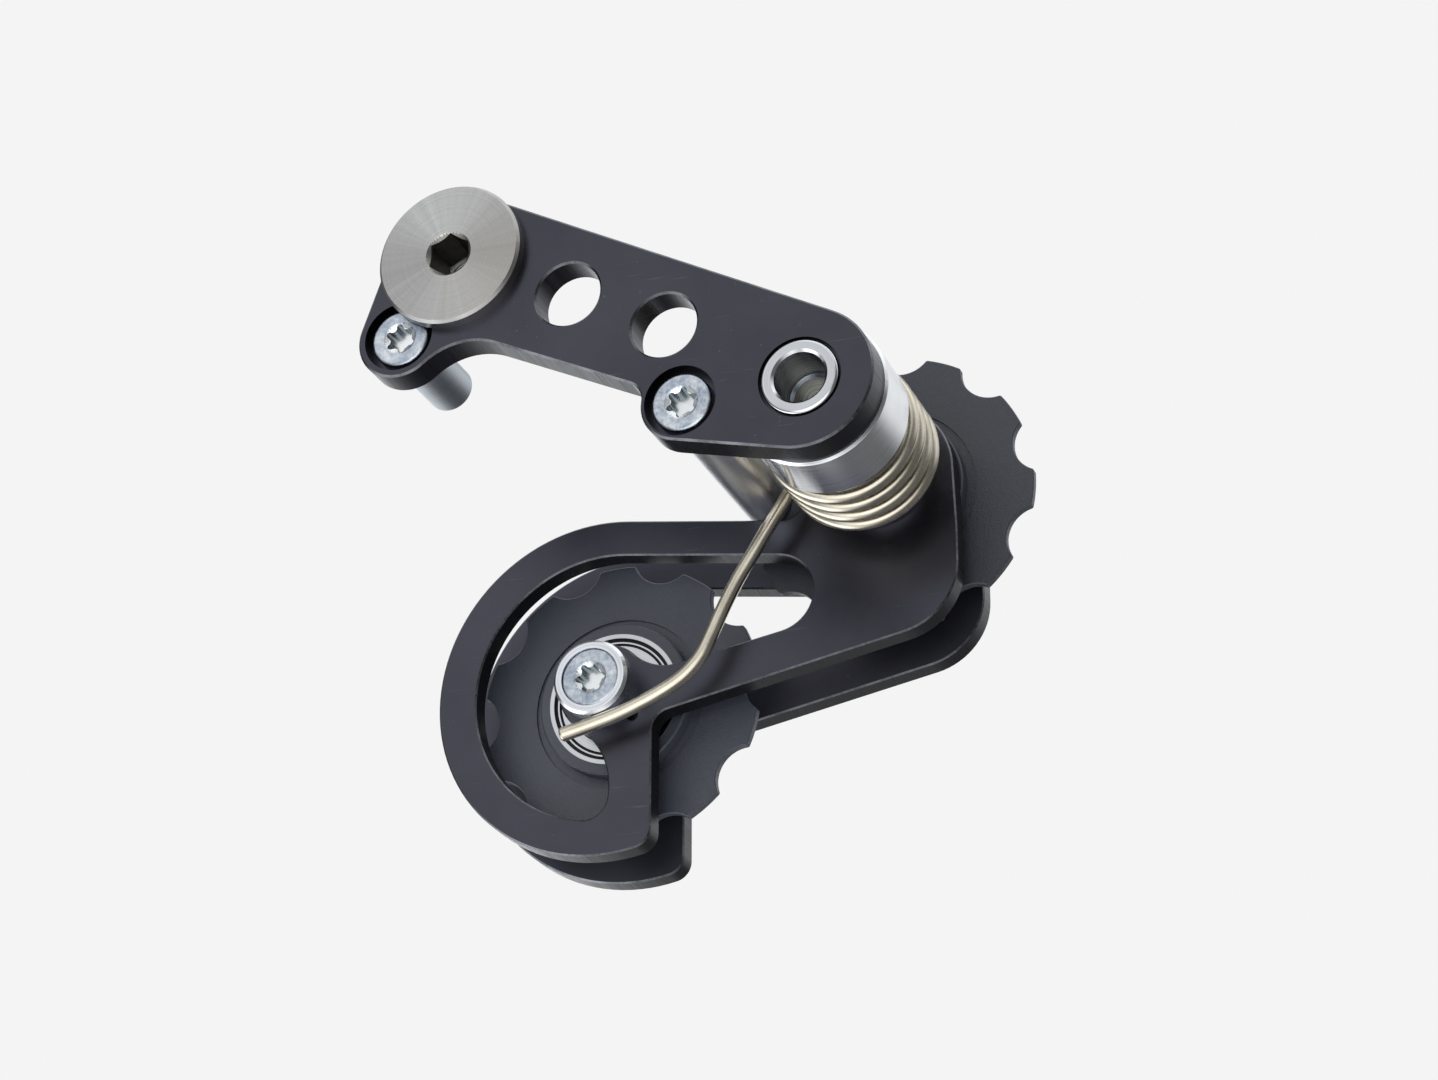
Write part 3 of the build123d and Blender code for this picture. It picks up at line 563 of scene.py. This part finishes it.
def spring_points():
    pts = [(TANG[0], COLLAR_L - 4.2, TANG[1]), (TANG[0], COLLAR_L - 1.5, TANG[1])]
    y_of = lambda deg: COIL_BOTTOM_Y + COIL_PITCH * (deg + 90) / 360
    a_t = math.degrees(math.atan2(TANG[1] - PIVOT[1], TANG[0] - PIVOT[0])) - 360
    r_t = math.hypot(TANG[0] - PIVOT[0], TANG[1] - PIVOT[1])
    for da, f, yy in ((3, 0.02, COLLAR_L + 0.15), (14, 0.25, COLLAR_L + 1.05)):
        x, z = polar(PIVOT, r_t + (COIL_R - r_t) * f, a_t + da)
        pts.append((x, yy, z))
    start = deg = a_t + 45
    last = 3 * 360 + 176
    while deg < last:
        x, z = polar(PIVOT, COIL_R, deg)
        pts.append((x, y_of(deg) if deg > start + 30 else max(y_of(deg), COLLAR_L + 1.1), z))
        deg += 15
    x, z = polar(PIVOT, COIL_R, last)
    pts.append((x, y_of(last), z))
    return pts + LEG


spring = tube_mesh("torsion_spring_wire", smooth_path(spring_points(), 0.45), WIRE_R - 0.004)
wear(spring, SPRING)
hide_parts("torsion_spring")
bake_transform(spring)


# ------------------------------------------------------------------ mounting bolt with its cut thread
def bolt_with_thread():
    src = nodes["mounting_bolt"]
    bm = bmesh.new()
    bm.from_mesh(src.data)
    low = [f for f in bm.faces if f.calc_center_median().y > SHOULDER_END * MM - 0.000005]
    bmesh.ops.delete(bm, geom=low, context="FACES")
    sides, pitch, root = 72, 1.0, 4.40
    ys = np.append(np.arange(SHOULDER_END, BOLT_REACH, 0.1), BOLT_REACH)
    grid = []
    for y in ys:
        row = []
        for k in range(sides):
            ph = (y / pitch - k / sides) % 1.0
            tooth = min(1.0, max(0.0, 1.25 - abs(ph - 0.5) * 2 * 1.35))
            r = root + (THREAD_R - root) * tooth
            r = min(r, THREAD_R - max(0.0, y - (BOLT_REACH - 0.8)) * 1.0)
            r = min(r, root + max(0.0, y) * 1.0 + 0.1) if y < 0.5 else r
            w = 2 * math.pi * k / sides
            row.append(bm.verts.new((r * math.cos(w) * MM, y * MM, r * math.sin(w) * MM)))
        grid.append(row)
    for i in range(len(grid) - 1):
        for k in range(sides):
            k2 = (k + 1) % sides
            bm.faces.new((grid[i][k], grid[i + 1][k], grid[i + 1][k2], grid[i][k2]))
    bm.faces.new(list(reversed(grid[-1])))
    rim = [bm.verts.new((SHOULDER_R * MM * math.cos(2 * math.pi * k / sides), SHOULDER_END * MM,
                         SHOULDER_R * MM * math.sin(2 * math.pi * k / sides))) for k in range(sides)]
    for k in range(sides):
        k2 = (k + 1) % sides
        bm.faces.new((rim[k], grid[0][k], grid[0][k2], rim[k2]))
    new = [f for f in bm.faces if f.calc_center_median().y > SHOULDER_END * MM - 0.000005]
    bmesh.ops.recalc_face_normals(bm, faces=new)
    me = bpy.data.meshes.new("mounting_bolt_cut")
    bm.to_mesh(me)
    bm.free()
    ob = bpy.data.objects.new("mounting_bolt_cut", me)
    bpy.context.scene.collection.objects.link(ob)
    wear(ob, DISC, SOCKET_SHADE, AXLE_THREAD)
    by_face(ob, lambda c, v: 2 if c[1] > PLATE_Y + 0.001 and math.hypot(c[0], c[2]) > 3.2 else
            (1 if math.hypot(c[0], c[2]) < 3.05 and (c[1] > PLATE_Y - 1.7 + 0.12) else 0))
    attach(ob, "base")
    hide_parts("mounting_bolt")
    return ob


AXLE_THREAD = turned_metal("cut_thread", (0, 0), (0.42, 0.42, 0.42), (0.60, 0.60, 0.60), (0.26, 0.38), 0.3)
bolt = bolt_with_thread()


# ------------------------------------------------------------------ floor, light, camera
def area(name, loc, look, size, power, color=(1, 1, 1)):
    d = bpy.data.lights.new(name, "AREA")
    d.shape = "RECTANGLE"
    d.size, d.size_y = size
    d.energy = power
    d.color = color
    o = bpy.data.objects.new(name, d)
    o.location = loc
    o.rotation_euler = (Vector(look) - Vector(loc)).to_track_quat("-Z", "Y").to_euler()
    bpy.context.scene.collection.objects.link(o)
    return o


centre = Vector((0.0205, 0.018, -0.029))
bm = bmesh.new()
for x, y in ((-3, -3), (3, -3), (3, 3), (-3, 3)):
    bm.verts.new((x, y, -0.55))
bm.faces.new(bm.verts)
me = bpy.data.meshes.new("floor")
bm.to_mesh(me)
bm.free()
floor = bpy.data.objects.new("floor", me)
bpy.context.scene.collection.objects.link(floor)
fm = Mat("floor_paint").set(Roughness=0.9)
fm.color(fm.mix(fm.noise(6, 2), (0.86, 0.86, 0.86), (0.90, 0.90, 0.90)))
wear(floor, fm.m)
floor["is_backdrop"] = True
floor.visible_glossy = False

world = bpy.data.worlds.new("studio")
bpy.context.scene.world = world
world.use_nodes = True
wt = world.node_tree
wt.nodes.clear()


def wnode(kind, **props):
    n = wt.nodes.new(kind)
    for key, v in props.items():
        setattr(n, key, v)
    return n


direction = wnode("ShaderNodeTexCoord").outputs["Generated"]


def lobe(d, inner, outer, strength):
    """A soft round panel of light in direction d, full inside inner degrees, gone at outer degrees."""
    v = Vector(d).normalized()
    dot = wnode("ShaderNodeVectorMath", operation="DOT_PRODUCT")
    dot.inputs[1].default_value = v
    wt.links.new(direction, dot.inputs[0])
    r = wnode("ShaderNodeMapRange", interpolation_type="SMOOTHSTEP")
    r.inputs["From Min"].default_value = math.cos(math.radians(outer))
    r.inputs["From Max"].default_value = math.cos(math.radians(inner))
    r.inputs["To Min"].default_value = 0.0
    r.inputs["To Max"].default_value = strength
    wt.links.new(dot.outputs["Value"], r.inputs["Value"])
    return r.outputs[0]


PANELS = [
    ((-0.314, -0.861, 0.400), 12, 50, 0.64),      # front
    ((0.10, -0.85, -0.45), 12, 40, 1.60),         # front, low
    ((-0.314, -0.400, -0.861), 12, 40, 0.60),     # below
    ((-0.75, 0.10, -0.65), 12, 40, 2.00),         # left, low
    ((0.20, -0.30, 0.93), 12, 45, 0.62),          # top
    ((-0.314, 0.400, 0.861), 12, 40, 0.55),       # top, behind
    ((0.75, 0.10, 0.65), 12, 40, 0.75),           # right, high
    ((0.359, 0.861, 0.359), 8, 30, 0.80),         # behind, right
    ((-0.359, 0.861, 0.359), 8, 30, 1.00),        # behind, left
    ((-0.508, 0.861, 0.000), 8, 30, 0.60),
    ((-0.359, 0.861, -0.359), 8, 30, 0.22),
    ((0.0, 1.0, 0.0), 5, 22, 0.55),
]
total = 0.15
for args in PANELS:
    add = wnode("ShaderNodeMath", operation="ADD")
    if isinstance(total, float):
        add.inputs[0].default_value = total
    else:
        wt.links.new(total, add.inputs[0])
    wt.links.new(lobe(*args), add.inputs[1])
    total = add.outputs[0]
out = wnode("ShaderNodeOutputWorld")
mixs = wnode("ShaderNodeMixShader")
lp = wnode("ShaderNodeLightPath")
b_cam = wnode("ShaderNodeBackground")
b_env = wnode("ShaderNodeBackground")
b_cam.inputs[0].default_value = (0.905, 0.905, 0.905, 1)
b_env.inputs[0].default_value = (0.96, 0.98, 1.0, 1)
wt.links.new(total, b_env.inputs[1])
wt.links.new(lp.outputs["Is Camera Ray"], mixs.inputs[0])
wt.links.new(b_env.outputs[0], mixs.inputs[1])
wt.links.new(b_cam.outputs[0], mixs.inputs[2])
wt.links.new(mixs.outputs[0], out.inputs[0])

area("key_left", (-0.45, -0.60, 0.40), centre, (0.4, 0.4), 0.12)
area("top", (0.05, -0.05, 0.65), centre, (0.5, 0.4), 0.30)

az, el = math.radians(20.01), math.radians(-23.56)
view = Vector((-math.sin(az) * math.cos(el), math.cos(az) * math.cos(el), -math.sin(el)))
cam = bpy.data.cameras.new("camera")
cam.sensor_width = 36.0
cam.lens = 36.0 * 3400.0 / 1438.0
cam.clip_start, cam.clip_end = 0.01, 20.0
co = bpy.data.objects.new("camera", cam)
co.location = (0.15668, -0.33941, -0.19825)
co.rotation_euler = view.to_track_quat("-Z", "Y").to_euler()
bpy.context.scene.collection.objects.link(co)
bpy.context.scene.camera = co
bpy.context.scene.view_settings.view_transform = "Standard"


def plain(b):
    try:
        return [[float(v) for v in p] for p in b]
    except TypeError:
        return [float(v) for v in b]


{"cad": plain(cad_box), "visual": plain(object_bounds())}
